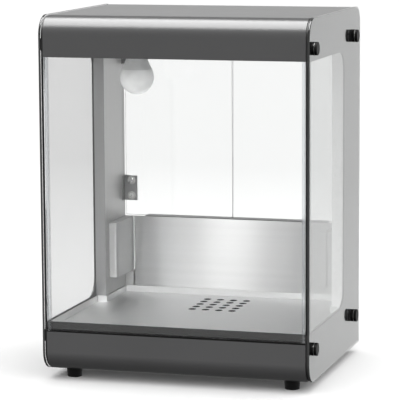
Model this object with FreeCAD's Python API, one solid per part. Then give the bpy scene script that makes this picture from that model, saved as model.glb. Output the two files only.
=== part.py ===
import FreeCAD, Part
import math
import os
from FreeCAD import Vector

# A counter-top chip warmer: a dark metal chassis, C-shaped from the side and open at the front,
# between two clear side glasses. X runs to the right as seen from the front, Y runs to the back
# and Z runs up. While it is modelled, x = 0 is the middle between the side glasses, y = 0 is
# their front edge and z = 0 is the surface that the feet stand on.

# Overall sizes
body_width = 460.0
body_depth = 374.0
body_height = 597.0
foot_height = 16.0
overrun = 5.0
rest_gap = 0.2
running_gap = 0.05
parallel_share = 0.99

# Side glasses
side_glass_thickness = 4.0
glass_front_radius = 34.0
glass_rear_radius = 28.0
glass_edge_chamfer = 0.5

# Side frames, the C-shaped cheeks behind the glasses
side_frame_thickness = 3.0
side_frame_setback = 2.6
window_rear_inset = 115.5
window_sill_height = 84.0
window_head_drop = 70.0
window_radius = 35.0

# Black gaskets that close the open front of each window
gasket_depth = 9.0

# Hood
shell_setback = 2.0
shell_top_setback = 1.0
hood_sheet = 1.5
hood_lip_height = 69.0
hood_rear_lip_height = 35.0

# Ceiling panel inside the hood
ceiling_sheet = 1.2
ceiling_drop = 35.0
ceiling_front_gap = 4.0
ceiling_rear_gap = 2.0
ceiling_flange_height = 12.0
ceiling_bend_radius = 3.0
ceiling_slot_length = 60.0
ceiling_slot_width = 4.0
ceiling_slot_pitch = 12.0
ceiling_slot_count = 5

# Base pan: floor, curved front fascia and rear wall folded from one sheet
base_sheet = 1.5
fascia_height = 69.6
fascia_flange_depth = 24.0
fascia_flange_radius = 2.5
base_rear_radius = 4.0
intake_hole_diameter = 6.0
intake_ring_pitch = 12.0
intake_ring_count = 3
intake_ring_holes = 6

# Rear posts
post_width = 18.8
post_sheet = 1.2
post_rear_setback = 2.0

# Front glass and its clear channels
front_glass_thickness = 4.0
front_glass_gap = 0.25
front_glass_edge_gap = 0.6
front_glass_head_gap = 2.0
channel_wall = 1.25
channel_width = 6.4
channel_front_gap = 0.5

# Floor tray
tray_sheet = 1.2
tray_floor_height = 72.5
tray_rim_height = 11.2
tray_front_gap = 0.5
tray_side_gap = 3.2
tray_post_gap = 1.2
tray_rear_gap = 0.8
tray_hole_diameter = 12.0
tray_hole_pitch = 24.0
tray_hole_columns = 4
tray_hole_rows = 5
tray_grid_rear_inset = 89.5

# Rails that carry the tray
rail_sheet = 1.5
rail_leg = 16.0
rail_web = 24.0
rail_front = 32.0
rail_post_gap = 3.0
rail_rear_inset = 39.5

# Rear guard: a stainless panel with two forward wings
guard_sheet = 1.0
guard_height = 211.7
guard_side_gap = 14.5
guard_foot_drop = 16.5
guard_rear_gap = 2.0
wing_depth = 91.0
wing_foot_rise = 29.8
wing_bend_radius = 4.0
wing_flange_gap = 0.3

# Rear panel behind the guard
rear_panel_sheet = 1.2

# Doors
door_thickness = 5.0
door_side_gap = 3.2
door_meeting_gap = 2.0
door_foot_gap = 2.6
door_head_gap = 1.4
door_rear_inset = 0.4
door_edge_chamfer = 0.5

# Door hinges
hinge_height = 45.0
hinge_sheet = 1.2
hinge_leaf_width = 22.0
hinge_frame_leaf_depth = 16.0
hinge_barrel_radius = 2.4
hinge_pin_radius = 1.2
hinge_pin_head_radius = 2.0
hinge_pin_head_height = 0.8
hinge_knuckle_gap = 0.3
hinge_link_gap = 0.2
hinge_inset = 49.2
hinge_screw_radius = 2.0
hinge_screw_hole_gap = 0.3
hinge_screw_head_radius = 4.2
hinge_screw_head_height = 1.8
hinge_screw_spacing = 28.0
hinge_nut_radius = 5.2
hinge_nut_height = 2.0

# Door knobs, strikes and the magnetic catch
door_knob_radius = 8.0
door_knob_neck_radius = 4.5
door_knob_neck_length = 7.0
door_knob_length = 18.0
door_knob_edge_radius = 1.5
door_knob_edge = 22.0
door_knob_head = 18.0
strike_width = 14.0
strike_height = 12.0
strike_sheet = 1.5
strike_edge = 6.0
catch_width = 46.0
catch_depth = 16.0
catch_height = 11.0
catch_gap = 0.4

# Glass fixings: round knobs on the right, low caps on the left
knob_radius = 10.8
knob_disc_height = 4.6
knob_groove_height = 1.0
knob_groove_depth = 1.6
knob_edge_radius = 0.8
knob_bore_share = 0.7
cap_height = 1.0
cap_edge_radius = 0.5
stud_radius = 3.0
glass_hole_gap = 0.6
fixing_front_inset = 16.0
fixing_rear_inset = 60.5
fixing_foot_inset = 59.0
fixing_top_inset = 48.5

# Feet
foot_top_radius = 13.5
foot_bottom_radius = 12.3
foot_edge_radius = 1.5
foot_side_inset = 40.0
foot_end_inset = 46.0
foot_bore_radius = 6.0
foot_web = 5.0
foot_screw_radius = 2.5
foot_screw_head_radius = 4.8
foot_screw_head_height = 3.0
foot_nut_radius = 4.4
foot_nut_height = 3.5

# Lamp
lamp_side_inset = 85.5
lamp_rear_inset = 131.0
bulb_radius = 30.0
bulb_drop = 115.8
bulb_length = 110.0
bulb_housing_rise = 14.0
bulb_shoulder_radius = 19.0
bulb_shoulder_rise = 31.5
bulb_neck_radius = 14.2
bulb_cap_length = 27.0
bulb_cap_radius = 13.0
bulb_thread_depth = 0.8
bulb_thread_count = 6
bulb_contact_radius = 5.0
bulb_contact_height = 2.0
holder_wall = 4.0
holder_gap = 0.4
holder_flange_radius = 24.0
holder_flange_height = 3.0
holder_back_height = 10.0

# Fan
fan_size = 92.0
fan_height = 25.0
fan_bore_radius = 43.0
fan_corner_radius = 5.0
fan_screw_inset = 5.0
fan_hub_radius = 17.0
fan_hub_base = 4.0
fan_strut_width = 4.0
fan_strut_count = 4
fan_blade_count = 7
fan_blade_sheet = 1.8
fan_blade_angle = 35.0
fan_blade_gap = 1.2
fan_blade_height = 16.0
fan_axial_gap = 0.3
fan_shaft_radius = 2.0

# Heater duct and heating element under the holes of the tray
duct_sheet = 1.0
duct_half_width = 50.0
duct_half_depth = 60.0
duct_top_gap = 0.4
element_radius = 3.2
element_pitch = 22.0
element_passes = 4
element_margin = 24.0
element_rise = 20.0
element_terminal_length = 22.0
bracket_width = 8.0
bracket_sheet = 1.5
bracket_half_length = 45.5
bracket_offset = 28.0

# Small screws
screw_radius = 1.8
screw_head_radius = 3.6
screw_head_height = 1.6

# Control box on the back
control_side_inset = 54.8
control_low_height = 84.0
control_top_rise = 0.8
control_depth = 26.0
control_sheet = 1.2
control_edge_radius = 2.0
control_screw_inset = 9.0
panel_screw_inset = 14.0
panel_screw_count = 3

# Rocker switches
switch_inset = 55.0
switch_pitch = 34.0
bezel_width = 21.0
bezel_height = 28.0
bezel_sheet = 2.0
switch_width = 17.0
switch_height = 24.0
switch_depth = 17.0
switch_wall = 1.6
rocker_side_gap = 0.3
rocker_end_gap = 0.9
rocker_back = 7.0
rocker_front = 2.0
rocker_pivot_depth = 3.0
rocker_valley = 1.2
rocker_angle = 8.0
axle_radius = 1.4
axle_length = 0.9

# Thermostat and its dial
dial_inset = 188.0
dial_skirt_radius = 20.0
dial_skirt_height = 3.0
dial_radius = 16.0
dial_height = 14.0
dial_flute_radius = 1.6
dial_flute_count = 18
dial_mark_width = 1.6
dial_mark_depth = 0.6
dial_face_gap = 0.4
dial_shaft_radius = 3.0
dial_shaft_depth = 9.0
thermostat_width = 38.0
thermostat_height = 34.0
thermostat_depth = 16.0
thermostat_bush_radius = 5.0

# Pilot lamp
pilot_inset = 128.0
pilot_lens_radius = 5.0
pilot_lens_height = 3.0
pilot_lens_edge = 1.2
pilot_body_radius = 4.0
pilot_body_length = 14.0

# Cable gland
gland_inset = 40.0
gland_width = 22.0
gland_hex_height = 6.0
gland_dome_radius = 9.0
gland_dome_end_radius = 7.0
gland_dome_length = 12.0
gland_bore_radius = 3.9
gland_thread_radius = 7.8
gland_thread_length = 9.0
gland_nut_height = 4.0

# Terminal block inside the base
terminal_count = 3
terminal_pitch = 9.0
terminal_depth = 20.0
terminal_height = 15.0
terminal_side_inset = 93.0
terminal_rear_inset = 72.0
terminal_screw_radius = 2.2
terminal_screw_depth = 2.0

# Places worked out from the sizes
X_AXIS = Vector(1, 0, 0)
Y_AXIS = Vector(0, 1, 0)
Z_AXIS = Vector(0, 0, 1)
SIDES = ("left", "right")
glass_outer = body_width / 2
frame_outer = glass_outer - side_glass_thickness
frame_inner = frame_outer - side_frame_thickness
body_low = foot_height
body_top = body_low + body_height
window_depth = body_depth - window_rear_inset
window_sill_z = body_low + window_sill_height
window_head_z = body_top - window_head_drop
shell_half = frame_inner - rest_gap
shell_front = shell_setback
shell_rear = body_depth - shell_top_setback
shell_top = body_top - shell_top_setback
hood_lip_z = body_top - hood_lip_height
ceiling_z = body_top - ceiling_drop
post_inner = shell_half - post_width
post_rear = body_depth - post_rear_setback
fascia_z = body_low + fascia_height
base_floor_z = body_low + base_sheet
tray_floor_z = body_low + tray_floor_height
tray_rim_z = tray_floor_z + tray_rim_height
tray_under_z = tray_floor_z - tray_sheet
channel_front = shell_front + hood_sheet + channel_front_gap
channel_rear = channel_front + front_glass_thickness + 2 * (front_glass_gap + channel_wall)
channel_inner = shell_half - channel_width
front_glass_y = channel_front + channel_wall + front_glass_gap
guard_rear = post_rear - guard_rear_gap
guard_front = guard_rear - guard_sheet
guard_top_z = body_low + guard_height
wing_front = guard_rear - wing_depth
guard_half_width = post_inner - guard_side_gap
panel_rear = post_rear + rear_panel_sheet
door_z = guard_top_z + door_foot_gap
door_top_z = ceiling_z - door_head_gap
door_outer = post_inner - door_side_gap
door_inner = door_meeting_gap / 2
door_rear = post_rear + door_rear_inset
door_front = door_rear - door_thickness
hinge_x = post_inner - hinge_barrel_radius - rest_gap
hinge_y = door_rear + hinge_barrel_radius
hinge_places = [door_z + hinge_inset, door_top_z - hinge_inset]
knob_height = 2 * knob_disc_height + knob_groove_height
fixings = [(y, z) for y in (fixing_front_inset, body_depth - fixing_rear_inset)
           for z in (body_low + fixing_foot_inset, body_top - fixing_top_inset)]
foot_x = glass_outer - foot_side_inset
foot_rear = body_depth - foot_end_inset
feet_places = {
    "front_left": (-foot_x, foot_end_inset),
    "front_right": (foot_x, foot_end_inset),
    "rear_left": (-foot_x, foot_rear),
    "rear_right": (foot_x, foot_rear),
}
lamp_x = lamp_side_inset - frame_inner
lamp_y = body_depth - lamp_rear_inset
bulb_low = ceiling_z - bulb_drop
fan_y = guard_front - tray_grid_rear_inset
fan_top_z = base_floor_z + fan_height
duct_floor_z = fan_top_z + duct_sheet
element_z = duct_floor_z + element_rise
fan_screw_offset = fan_size / 2 - fan_screw_inset
control_rear = panel_rear + control_depth
control_half_width = shell_half - control_side_inset
control_top_z = guard_top_z + control_top_rise
control_low_z = body_low + control_low_height
control_z = (control_top_z + control_low_z) / 2
heat_switch_x = control_half_width - switch_inset
switch_places = {"light": heat_switch_x - switch_pitch, "heat": heat_switch_x}
pilot_x = control_half_width - pilot_inset
dial_x = control_half_width - dial_inset
gland_x = gland_inset - control_half_width
terminal_x = terminal_side_inset - frame_inner
terminal_y = post_rear - terminal_rear_inset
rocker_y = control_rear + bezel_sheet - rocker_pivot_depth
gland_rear = control_rear + gland_hex_height + gland_dome_length
dial_rear = control_rear + dial_face_gap + dial_height
rear_reach = max(gland_rear, dial_rear, door_rear + door_knob_length)
right_reach = glass_outer + knob_height
left_reach = glass_outer + cap_height

# The origin is the middle of the whole box of the object, on the surface that it stands on
frame_x = (left_reach - right_reach) / 2
frame_y = -rear_reach / 2


# General shapes

def box(x0, x1, y0, y1, z0, z1):
    return Part.makeBox(x1 - x0, y1 - y0, z1 - z0, Vector(x0, y0, z0))


def block(centre, half, y0, y1):
    """A block around an XZ centre, between two Y places."""
    return box(centre[0] - half[0], centre[0] + half[0], y0, y1, centre[1] - half[1], centre[1] + half[1])


def rod(radius, start, end):
    """A round rod between two points."""
    run = end.sub(start)
    return Part.makeCylinder(radius, run.Length, start, run)


def cone(start_radius, end_radius, start, end):
    run = end.sub(start)
    return Part.makeCone(start_radius, end_radius, run.Length, start, run)


def hexagon(width, start, end):
    """A hexagonal prism along Y, with its width measured across the flats."""
    corner = width / math.sqrt(3)
    points = []
    for step in range(7):
        angle = math.radians(60 * step)
        points.append(start + Vector(corner * math.cos(angle), 0, corner * math.sin(angle)))
    return Part.Face(Part.makePolygon(points)).extrude(end.sub(start))


def turned(profile, x, y):
    """A solid turned about an upright axis, from its (radius, height) outline."""
    points = [Vector(r, 0, z) for r, z in profile]
    points.append(points[0])
    solid = Part.Face(Part.makePolygon(points)).revolve(Vector(0, 0, 0), Z_AXIS, 360)
    solid.translate(Vector(x, y, 0))
    return solid


def mirrored(shape):
    """The same piece on the other side of the middle."""
    return shape.mirror(Vector(0, 0, 0), X_AXIS)


def on_side(shape, side):
    """A piece that is built on the right, for the side that is asked for."""
    return shape if side == "right" else mirrored(shape)


def group(shapes):
    return Part.makeCompound(shapes)


def edges_along(shape, axis):
    """The straight edges that run along an axis."""
    return [edge for edge in shape.Edges
            if isinstance(edge.Curve, Part.Line) and abs(edge.Curve.Direction.dot(axis)) > parallel_share]


def end_circles(shape, axis, place):
    """The round edges that lie flat at a place along an axis."""
    found = []
    for edge in shape.Edges:
        if isinstance(edge.Curve, Part.Circle) and abs(edge.Curve.Center.dot(axis) - place) < rest_gap:
            found.append(edge)
    return found


def rounded_edges(points, radii, closed=False):
    """Edges through YZ points, with each corner rounded by its radius."""
    corners = [Vector(0, y, z) for y, z in points]
    count = len(corners)
    bends = range(count) if closed else range(1, count - 1)
    starts = dict(enumerate(corners))
    ends = dict(enumerate(corners))
    arcs = {}
    for i in bends:
        if radii[i] <= 0:
            continue
        before = corners[i - 1].sub(corners[i]).normalize()
        after = corners[(i + 1) % count].sub(corners[i]).normalize()
        middle = before.add(after).normalize()
        half = before.getAngle(after) / 2
        centre = corners[i] + middle * (radii[i] / math.sin(half))
        starts[i] = corners[i] + before * (radii[i] / math.tan(half))
        ends[i] = corners[i] + after * (radii[i] / math.tan(half))
        arcs[i] = Part.Arc(starts[i], centre - middle * radii[i], ends[i]).toShape()
    edges = []
    for i in range(count if closed else count - 1):
        j = (i + 1) % count
        edges.append(Part.makeLine(ends[i], starts[j]))
        if j in arcs:
            edges.append(arcs[j])
    return edges


def extruded(edges, x0, x1):
    """The solid between two X places whose YZ section the edges close round."""
    face = Part.Face(Part.Wire(Part.__sortEdges__(edges)))
    face.translate(Vector(x0, 0, 0))
    return face.extrude(Vector(x1 - x0, 0, 0))


def plate(points, radii, x0, x1):
    """A flat plate with a rounded YZ outline, between two X places."""
    return extruded(rounded_edges(points, radii, closed=True), x0, x1)


def bent_sheet(points, radii, sheet, x0, x1):
    """Sheet metal folded along an open YZ line, with its thickness on the right of the line."""
    runs = []
    for (y0, z0), (y1, z1) in zip(points, points[1:]):
        length = math.hypot(y1 - y0, z1 - z0)
        runs.append(((y1 - y0) / length, (z1 - z0) / length))
    inside = []
    inside_radii = []
    for i, (y, z) in enumerate(points):
        a = runs[max(i - 1, 0)]
        b = runs[min(i, len(runs) - 1)]
        reach = sheet / (1 + a[0] * b[0] + a[1] * b[1])
        inside.append((y + (a[1] + b[1]) * reach, z - (a[0] + b[0]) * reach))
        turn = a[0] * b[1] - a[1] * b[0]
        inside_radii.append(radii[i] + sheet if turn > 0 else radii[i] - sheet)
    edges = rounded_edges(points, radii) + rounded_edges(inside, inside_radii)
    for end in (0, -1):
        edges.append(Part.makeLine(Vector(0, *points[end]), Vector(0, *inside[end])))
    return extruded(edges, x0, x1)


def upright_sheet(points, radii, sheet, z0, z1):
    """Sheet metal folded along an open XY line and standing between two heights."""
    shape = bent_sheet(points, radii, sheet, z0, z1)
    shape.rotate(Vector(0, 0, 0), Vector(1, 1, 1), -120)
    return shape


def screw(start, direction, grip):
    """A pan-head screw: the head stands on the start point, the shank runs the other way."""
    head = rod(screw_head_radius, start, start + direction * screw_head_height)
    crown = start.dot(direction) + screw_head_height
    head = head.makeChamfer(screw_head_height / 4, end_circles(head, direction, crown))
    return head.fuse(rod(screw_radius, start - direction * grip, start))


# Side glasses, frames and gaskets

def outline(setback):
    """The side outline of the cabinet, drawn in by a setback, with its corner radii."""
    low = body_low + setback
    top = body_top - setback
    rear = body_depth - setback
    points = [(setback, low), (rear, low), (rear, top), (setback, top)]
    radii = [glass_front_radius - setback, 0, glass_rear_radius - setback, glass_front_radius - setback]
    return points, radii


def fixing_holes(radius):
    start = frame_inner - overrun
    end = glass_outer + overrun
    return [rod(radius, Vector(start, y, z), Vector(end, y, z)) for y, z in fixings]


def side_glass():
    points, radii = outline(0)
    glass = plate(points, radii, frame_outer, glass_outer)
    glass = glass.makeChamfer(glass_edge_chamfer, glass.Edges)
    return glass.cut(fixing_holes(stud_radius + glass_hole_gap))


def side_frame():
    points, radii = outline(side_frame_setback)
    cheek = plate(points, radii, frame_inner, frame_outer)
    opening = [(-overrun, window_sill_z), (window_depth, window_sill_z),
               (window_depth, window_head_z), (-overrun, window_head_z)]
    window = plate(opening, [0, window_radius, window_radius, 0],
                   frame_inner - overrun, frame_outer + overrun)
    return cheek.cut([window] + fixing_holes(stud_radius + running_gap))


def edge_gasket():
    return box(frame_inner, frame_outer, side_frame_setback, side_frame_setback + gasket_depth,
               window_sill_z, window_head_z)


def stud(reach, y, z):
    return rod(stud_radius, Vector(frame_inner, y, z), Vector(glass_outer + reach, y, z))


def glass_knob(y, z):
    """A round knob of two discs with a groove between them, bored for its stud."""
    start = Vector(glass_outer, y, z)
    inner_end = start + X_AXIS * knob_disc_height
    outer_start = inner_end + X_AXIS * knob_groove_height
    end = outer_start + X_AXIS * knob_disc_height
    neck = rod(knob_radius - knob_groove_depth, inner_end, outer_start)
    outer = rod(knob_radius, outer_start, end)
    outer = outer.makeFillet(knob_edge_radius, end_circles(outer, X_AXIS, end.x))
    knob = rod(knob_radius, start, inner_end).fuse([neck, outer])
    return knob.cut(rod(stud_radius + running_gap, start, start + X_AXIS * knob_height * knob_bore_share))


def glass_cap(y, z):
    """A low round cap with its stud, as on the right."""
    end = glass_outer + cap_height
    head = rod(knob_radius, Vector(glass_outer, y, z), Vector(end, y, z))
    head = head.makeFillet(cap_edge_radius, end_circles(head, X_AXIS, end))
    return head.fuse(stud(cap_height / 2, y, z))


# Hood and ceiling

def hood_shell():
    points = [(shell_front, hood_lip_z), (shell_front, shell_top), (shell_rear, shell_top),
              (shell_rear, body_top - hood_rear_lip_height)]
    radii = [0, glass_front_radius - shell_setback, glass_rear_radius - shell_top_setback, 0]
    return bent_sheet(points, radii, hood_sheet, -shell_half, shell_half)


def ceiling_panel():
    front = channel_rear + ceiling_front_gap
    rear = shell_rear - hood_sheet - ceiling_rear_gap
    flange_z = ceiling_z + ceiling_flange_height
    points = [(rear, flange_z), (rear, ceiling_z), (front, ceiling_z), (front, flange_z)]
    panel = bent_sheet(points, [0, ceiling_bend_radius, ceiling_bend_radius, 0], ceiling_sheet,
                       -shell_half, shell_half)
    low = ceiling_z - overrun
    high = ceiling_z + overrun
    holes = [rod(holder_radius() + rest_gap, Vector(lamp_x, lamp_y, low), Vector(lamp_x, lamp_y, high))]
    for row in range(ceiling_slot_count):
        y = lamp_y + (row - (ceiling_slot_count - 1) / 2) * ceiling_slot_pitch
        holes.append(box(-lamp_x - ceiling_slot_length / 2, -lamp_x + ceiling_slot_length / 2,
                         y - ceiling_slot_width / 2, y + ceiling_slot_width / 2, low, high))
    return panel.cut(holes)


# Base

def base_pan():
    rear = post_rear + base_sheet
    points = [(rear, fascia_z), (rear, body_low), (shell_front, body_low), (shell_front, fascia_z),
              (shell_front + fascia_flange_depth, fascia_z)]
    radii = [0, base_rear_radius, glass_front_radius - shell_setback, fascia_flange_radius, 0]
    pan = bent_sheet(points, radii, base_sheet, -shell_half, shell_half)
    drill = Z_AXIS * (base_sheet + 2 * overrun)
    holes = []
    for ring in range(1, intake_ring_count + 1):
        for step in range(intake_ring_holes * ring):
            angle = 2 * math.pi * step / (intake_ring_holes * ring)
            reach = intake_ring_pitch * ring
            place = Vector(reach * math.cos(angle), fan_y + reach * math.sin(angle), body_low - overrun)
            holes.append(rod(intake_hole_diameter / 2, place, place + drill))
    for x, y in feet_places.values():
        place = Vector(x, y, body_low - overrun)
        holes.append(rod(foot_screw_radius + running_gap, place, place + drill))
    return pan.cut(holes)


def foot(x, y):
    """A tapered rubber foot, bored from below for its screw."""
    low = Vector(x, y, 0)
    high = Vector(x, y, foot_height)
    body = cone(foot_bottom_radius, foot_top_radius, low, high)
    body = body.makeFillet(foot_edge_radius, end_circles(body, Z_AXIS, 0))
    bore = rod(foot_bore_radius, low - Z_AXIS * overrun, high - Z_AXIS * foot_web)
    return body.cut([bore, rod(foot_screw_radius + running_gap, low, high + Z_AXIS * overrun)])


def foot_screw(x, y):
    """The screw of a foot, with its nut inside the base."""
    seat = Vector(x, y, foot_height - foot_web)
    nut = Vector(x, y, base_floor_z)
    head = rod(foot_screw_head_radius, seat - Z_AXIS * foot_screw_head_height, seat)
    shank = rod(foot_screw_radius, seat, nut + Z_AXIS * foot_nut_height)
    return head.fuse([shank, rod(foot_nut_radius, nut, nut + Z_AXIS * foot_nut_height)])


# Posts, guard and rear panel

def panel_screw_places():
    """Where the rear panel is screwed to a post, as XZ places on the right."""
    x = (post_inner + shell_half) / 2
    low = fascia_z + panel_screw_inset
    step = (guard_top_z - panel_screw_inset - low) / (panel_screw_count - 1)
    return [(x, low + step * i) for i in range(panel_screw_count)]


def panel_screw_holes():
    grip = [Vector(x, post_rear - overrun, z) for x, z in panel_screw_places()]
    return [rod(screw_radius + running_gap, place, place + Y_AXIS * 2 * overrun) for place in grip]


def rear_post():
    low = body_low + base_rear_radius
    outer = box(post_inner, shell_half, window_depth, post_rear, low, ceiling_z)
    inner = box(post_inner + post_sheet, shell_half - post_sheet, window_depth + post_sheet,
                post_rear - post_sheet, low - overrun, ceiling_z + overrun)
    return outer.cut([inner] + panel_screw_holes())


def rear_guard():
    edge = post_inner - wing_flange_gap
    points = [(-edge, wing_front), (-guard_half_width, wing_front), (-guard_half_width, guard_rear),
              (guard_half_width, guard_rear), (guard_half_width, wing_front), (edge, wing_front)]
    radii = [0] + [wing_bend_radius] * 4 + [0]
    guard = upright_sheet(points, radii, guard_sheet, tray_floor_z - guard_foot_drop, guard_top_z)
    notch = box(-shell_half, shell_half, wing_front - overrun, guard_front, body_low,
                tray_rim_z + wing_foot_rise)
    return guard.cut(notch)


def rear_panel():
    panel = box(-shell_half, shell_half, post_rear, panel_rear, fascia_z + rest_gap, guard_top_z)
    holes = panel_screw_holes()
    return panel.cut(holes + [mirrored(hole) for hole in holes])


def rear_panel_screws():
    screws = [screw(Vector(x, panel_rear, z), Y_AXIS, rear_panel_sheet + post_sheet)
              for x, z in panel_screw_places()]
    return screws + [mirrored(piece) for piece in screws]


# Front glass and channels

def front_glass():
    half = shell_half - channel_wall - front_glass_edge_gap
    return box(-half, half, front_glass_y, front_glass_y + front_glass_thickness,
               fascia_z + rest_gap, ceiling_z - front_glass_head_gap)


def glass_channel():
    top = ceiling_z - front_glass_head_gap
    outer = box(channel_inner, shell_half, channel_front, channel_rear, fascia_z, top)
    slot = box(channel_inner - overrun, shell_half - channel_wall, channel_front + channel_wall,
               channel_rear - channel_wall, fascia_z - overrun, top + overrun)
    return outer.cut(slot)


# Tray and its rails

def tray_plan(inset, z0, z1):
    """The plan of the tray, notched round the posts, as a solid between two heights."""
    side = frame_inner - tray_side_gap - inset
    neck = post_inner - tray_post_gap - inset
    front = channel_rear + tray_front_gap + inset
    shoulder = window_depth - tray_post_gap - inset
    rear = guard_front - tray_rear_gap - inset
    wide = box(-side, side, front, shoulder, z0, z1)
    return wide.fuse(box(-neck, neck, front, rear, z0, z1)).removeSplitter()


def floor_tray():
    pan = tray_plan(0, tray_under_z, tray_rim_z)
    cuts = [tray_plan(tray_sheet, tray_floor_z, tray_rim_z + overrun)]
    for column in range(tray_hole_columns):
        for row in range(tray_hole_rows):
            x = (column - (tray_hole_columns - 1) / 2) * tray_hole_pitch
            y = fan_y + (row - (tray_hole_rows - 1) / 2) * tray_hole_pitch
            place = Vector(x, y, tray_under_z - overrun)
            cuts.append(rod(tray_hole_diameter / 2, place, place + Z_AXIS * 2 * overrun))
    return pan.cut(cuts)


def side_rail():
    rear = window_depth - rail_post_gap
    leg = box(shell_half - rail_leg, shell_half, rail_front, rear, tray_under_z - rail_sheet, tray_under_z)
    web = box(shell_half - rail_sheet, shell_half, rail_front, rear, tray_under_z - rail_web, tray_under_z)
    return leg.fuse(web).removeSplitter()


def rear_rail():
    half = guard_half_width - rail_rear_inset
    leg = box(-half, half, guard_front - rail_leg, guard_front, tray_under_z - rail_sheet, tray_under_z)
    web = box(-half, half, guard_front - rail_sheet, guard_front, tray_under_z - rail_web, tray_under_z)
    return leg.fuse(web).removeSplitter()


# Doors and their hinges, built on the right

def hinge_screw_places():
    x = door_outer - hinge_leaf_width / 2
    return [(x, z + side * hinge_screw_spacing / 2) for z in hinge_places for side in (-1, 1)]


def door():
    pane = box(door_inner, door_outer, door_front, door_rear, door_z, door_top_z)
    pane = pane.makeChamfer(door_edge_chamfer, pane.Edges)
    holes = [rod(hinge_screw_radius + hinge_screw_hole_gap, Vector(x, door_front - overrun, z),
                 Vector(x, door_rear + overrun, z)) for x, z in hinge_screw_places()]
    return pane.cut(holes)


def knuckle(low, high):
    start = Vector(hinge_x, hinge_y, low)
    end = Vector(hinge_x, hinge_y, high)
    return rod(hinge_barrel_radius, start, end)


def pin_bore(z):
    start = Vector(hinge_x, hinge_y, z - hinge_height)
    return rod(hinge_pin_radius + running_gap, start, start + Z_AXIS * 2 * hinge_height)


def door_leaf(z):
    """A leaf on the inner face of the door, with a link round its edge to the middle knuckle."""
    half = hinge_height / 2
    third = hinge_height / 6 - hinge_knuckle_gap
    link_x = door_outer + hinge_link_gap
    front = door_front - hinge_sheet
    leaf = box(door_outer - hinge_leaf_width, link_x + hinge_sheet, front, door_front, z - half, z + half)
    link = box(link_x, link_x + hinge_sheet, front, hinge_y, z - third, z + third)
    holes = [rod(hinge_screw_radius + hinge_screw_hole_gap, Vector(x, front - overrun, place),
                 Vector(x, door_front + overrun, place)) for x, place in hinge_screw_places()]
    return leaf.fuse([link, knuckle(z - third, z + third)]).cut(holes + [pin_bore(z)])


def frame_leaf(z):
    """A leaf on the inner face of the post, with the two outer knuckles."""
    half = hinge_height / 2
    third = hinge_height / 6
    leaf = box(post_inner - hinge_sheet, post_inner, post_rear - hinge_frame_leaf_depth, post_rear,
               z - half, z + half)
    pieces = []
    for low, high in ((z - half, z - third), (z + third, z + half)):
        pieces.append(box(post_inner - hinge_sheet, post_inner, post_rear, hinge_y, low, high))
        pieces.append(knuckle(low, high))
    return leaf.fuse(pieces).cut(pin_bore(z))


def hinge_pin(z):
    low = Vector(hinge_x, hinge_y, z - hinge_height / 2)
    high = Vector(hinge_x, hinge_y, z + hinge_height / 2)
    cap = Z_AXIS * hinge_pin_head_height
    heads = [rod(hinge_pin_head_radius, low - cap, low), rod(hinge_pin_head_radius, high, high + cap)]
    return rod(hinge_pin_radius, low, high).fuse(heads)


def hinge_screw(x, z):
    """A round-headed screw through the leaf and the glass, with its nut outside."""
    front = Vector(x, door_front - hinge_sheet, z)
    rear = Vector(x, door_rear, z)
    head_start = front - Y_AXIS * hinge_screw_head_height
    head = rod(hinge_screw_head_radius, head_start, front)
    head = head.makeFillet(hinge_screw_head_height / 2, end_circles(head, Y_AXIS, head_start.y))
    nut = rod(hinge_nut_radius, rear, rear + Y_AXIS * hinge_nut_height)
    return head.fuse([rod(hinge_screw_radius, front, rear), nut])


def door_knob():
    """A turned knob on the outer face of a door."""
    x = door_inner + door_knob_edge
    z = door_top_z - door_knob_head
    start = Vector(x, door_rear, z)
    shoulder = start + Y_AXIS * door_knob_neck_length
    end = start + Y_AXIS * door_knob_length
    head = rod(door_knob_radius, shoulder, end)
    head = head.makeFillet(door_knob_edge_radius, end_circles(head, Y_AXIS, end.y)
                           + end_circles(head, Y_AXIS, shoulder.y))
    return head.fuse(rod(door_knob_neck_radius, start, shoulder + Y_AXIS * door_knob_edge_radius))


def door_strike():
    x = door_inner + strike_edge
    return box(x, x + strike_width, door_front - strike_sheet, door_front, door_top_z - strike_height,
               door_top_z)


def door_catch():
    rear = door_front - strike_sheet - catch_gap
    return box(-catch_width / 2, catch_width / 2, rear - catch_depth, rear, ceiling_z - catch_height,
               ceiling_z)


# Lamp

def bulb_centre_z():
    return bulb_low + bulb_radius


def bulb_neck_z():
    return bulb_low + bulb_length - bulb_cap_length


def holder_radius():
    return bulb_cap_radius + holder_gap + holder_wall


def bulb_globe():
    """The frosted part of the bulb: a ball cut off where the housing begins."""
    ball = Part.makeSphere(bulb_radius, Vector(lamp_x, lamp_y, bulb_centre_z()))
    top = bulb_centre_z() + bulb_housing_rise
    keep = box(lamp_x - bulb_radius, lamp_x + bulb_radius, lamp_y - bulb_radius, lamp_y + bulb_radius,
               top - 2 * bulb_radius, top)
    return ball.common(keep)


def bulb_housing():
    """The white housing that narrows from the globe to the neck."""
    low = bulb_centre_z() + bulb_housing_rise
    rim = math.sqrt(bulb_radius ** 2 - bulb_housing_rise ** 2)
    shoulder = Vector(bulb_shoulder_radius, 0, bulb_centre_z() + bulb_shoulder_rise)
    neck = Vector(bulb_neck_radius, 0, bulb_neck_z())
    curve = Part.BSplineCurve()
    curve.interpolate([Vector(rim, 0, low), shoulder, neck])
    edges = [curve.toShape(), Part.makeLine(neck, Vector(0, 0, neck.z)),
             Part.makeLine(Vector(0, 0, neck.z), Vector(0, 0, low)),
             Part.makeLine(Vector(0, 0, low), Vector(rim, 0, low))]
    solid = Part.Face(Part.Wire(edges)).revolve(Vector(0, 0, 0), Z_AXIS, 360)
    solid.translate(Vector(lamp_x, lamp_y, 0))
    return solid


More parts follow.
